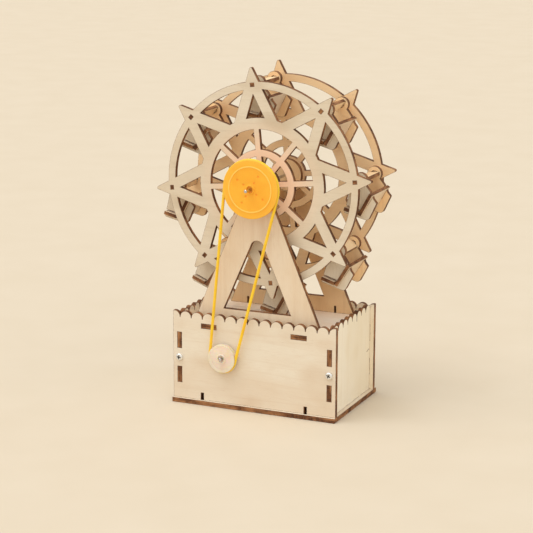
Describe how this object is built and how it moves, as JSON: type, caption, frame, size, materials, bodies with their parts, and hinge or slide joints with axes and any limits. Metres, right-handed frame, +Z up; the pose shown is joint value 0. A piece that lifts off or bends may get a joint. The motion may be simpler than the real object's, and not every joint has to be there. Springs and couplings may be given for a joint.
{
  "type": "crank ferris wheel toy",
  "caption": "Plywood table toy: a ferris wheel with hanging bench cars on A-frames over a box, turned by a hand crank through a belt and pulleys.",
  "frame": {"origin": "centre of the base plate's underside", "axes": "+Z up, +X to the right seen from the pulley side, +Y away from the pulleys towards the crank"},
  "size_m": [0.147, 0.1018, 0.2185],
  "materials": {
    "plywood": "bare birch sheet with burnt laser-cut edges",
    "turned_wood": "smooth turned wood",
    "steel_shaft": "ground",
    "plated_steel": "bright plated",
    "yellow_plastic": "moulded, satin",
    "milky_plastic": "moulded, milky",
    "yellow_belt": "smooth round belt"
  },
  "bodies": {
    "stand": {"base_plate": "plywood", "front_panel": "plywood", "back_panel": "plywood", "left_side_panel": "plywood", "right_side_panel": "plywood", "deck_plate": "plywood", "panel_screws": "plated_steel", "front_a_frame": "plywood", "rear_a_frame": "plywood", "front_shaft_bush": "milky_plastic", "rear_shaft_bush": "milky_plastic", "drive_belt": "yellow_belt"},
    "wheel": {"front_wheel_plate": "plywood", "rear_wheel_plate": "plywood", "front_hub_disc": "plywood", "rear_hub_disc": "plywood", "wheel_crossbars": "plywood", "axle": "steel_shaft", "axle_spacers": "milky_plastic", "axle_sleeve": "milky_plastic", "large_pulley": "yellow_plastic"},
    "crank": {"crank_shaft": "steel_shaft", "small_pulley": "milky_plastic", "crank_arm": "yellow_plastic", "crank_pin": "plated_steel"},
    "knob": {"crank_knob": "turned_wood"},
    "car_1": {"car_1_front_side": "plywood", "car_1_rear_side": "plywood", "car_1_seat": "plywood", "car_1_back": "plywood"},
    "car_2": {"car_2_front_side": "plywood", "car_2_rear_side": "plywood", "car_2_seat": "plywood", "car_2_back": "plywood"},
    "car_3": {"car_3_front_side": "plywood", "car_3_rear_side": "plywood", "car_3_seat": "plywood", "car_3_back": "plywood"},
    "car_4": {"car_4_front_side": "plywood", "car_4_rear_side": "plywood", "car_4_seat": "plywood", "car_4_back": "plywood"},
    "car_5": {"car_5_front_side": "plywood", "car_5_rear_side": "plywood", "car_5_seat": "plywood", "car_5_back": "plywood"},
    "car_6": {"car_6_front_side": "plywood", "car_6_rear_side": "plywood", "car_6_seat": "plywood", "car_6_back": "plywood"},
    "car_7": {"car_7_front_side": "plywood", "car_7_rear_side": "plywood", "car_7_seat": "plywood", "car_7_back": "plywood"},
    "car_8": {"car_8_front_side": "plywood", "car_8_rear_side": "plywood", "car_8_seat": "plywood", "car_8_back": "plywood"}
  },
  "joints": [
    {"name": "wheel_turn", "type": "hinge", "parent": "stand", "child": "wheel", "pos_m": [0, 0, 0.1451], "axis": [0, 1, 0], "continuous": true},
    {"name": "crank_turn", "type": "hinge", "parent": "stand", "child": "crank", "pos_m": [-0.0201, 0, 0.03375], "axis": [0, 1, 0], "continuous": true},
    {"name": "knob_spin", "type": "hinge", "parent": "crank", "child": "knob", "pos_m": [-0.0201, 0, 0.01375], "axis": [0, 1, 0], "continuous": true},
    {"name": "car_1_swing", "type": "hinge", "parent": "wheel", "child": "car_1", "pos_m": [-0.00643, 0, 0.20777], "axis": [0, 1, 0], "continuous": true},
    {"name": "car_2_swing", "type": "hinge", "parent": "wheel", "child": "car_2", "pos_m": [0.03977, 0, 0.19396], "axis": [0, 1, 0], "continuous": true},
    {"name": "car_3_swing", "type": "hinge", "parent": "wheel", "child": "car_3", "pos_m": [0.06267, 0, 0.15153], "axis": [0, 1, 0], "continuous": true},
    {"name": "car_4_swing", "type": "hinge", "parent": "wheel", "child": "car_4", "pos_m": [0.04886, 0, 0.10533], "axis": [0, 1, 0], "continuous": true},
    {"name": "car_5_swing", "type": "hinge", "parent": "wheel", "child": "car_5", "pos_m": [0.00643, 0, 0.08243], "axis": [0, 1, 0], "continuous": true},
    {"name": "car_6_swing", "type": "hinge", "parent": "wheel", "child": "car_6", "pos_m": [-0.03977, 0, 0.09624], "axis": [0, 1, 0], "continuous": true},
    {"name": "car_7_swing", "type": "hinge", "parent": "wheel", "child": "car_7", "pos_m": [-0.06267, 0, 0.13867], "axis": [0, 1, 0], "continuous": true},
    {"name": "car_8_swing", "type": "hinge", "parent": "wheel", "child": "car_8", "pos_m": [-0.04886, 0, 0.18487], "axis": [0, 1, 0], "continuous": true}
  ],
  "couplings": [
    {"joint": "crank_turn", "follows": "wheel_turn", "ratio": 2},
    {"joint": "car_1_swing", "follows": "wheel_turn", "ratio": -1},
    {"joint": "car_2_swing", "follows": "wheel_turn", "ratio": -1},
    {"joint": "car_3_swing", "follows": "wheel_turn", "ratio": -1},
    {"joint": "car_4_swing", "follows": "wheel_turn", "ratio": -1},
    {"joint": "car_5_swing", "follows": "wheel_turn", "ratio": -1},
    {"joint": "car_6_swing", "follows": "wheel_turn", "ratio": -1},
    {"joint": "car_7_swing", "follows": "wheel_turn", "ratio": -1},
    {"joint": "car_8_swing", "follows": "wheel_turn", "ratio": -1}
  ]
}
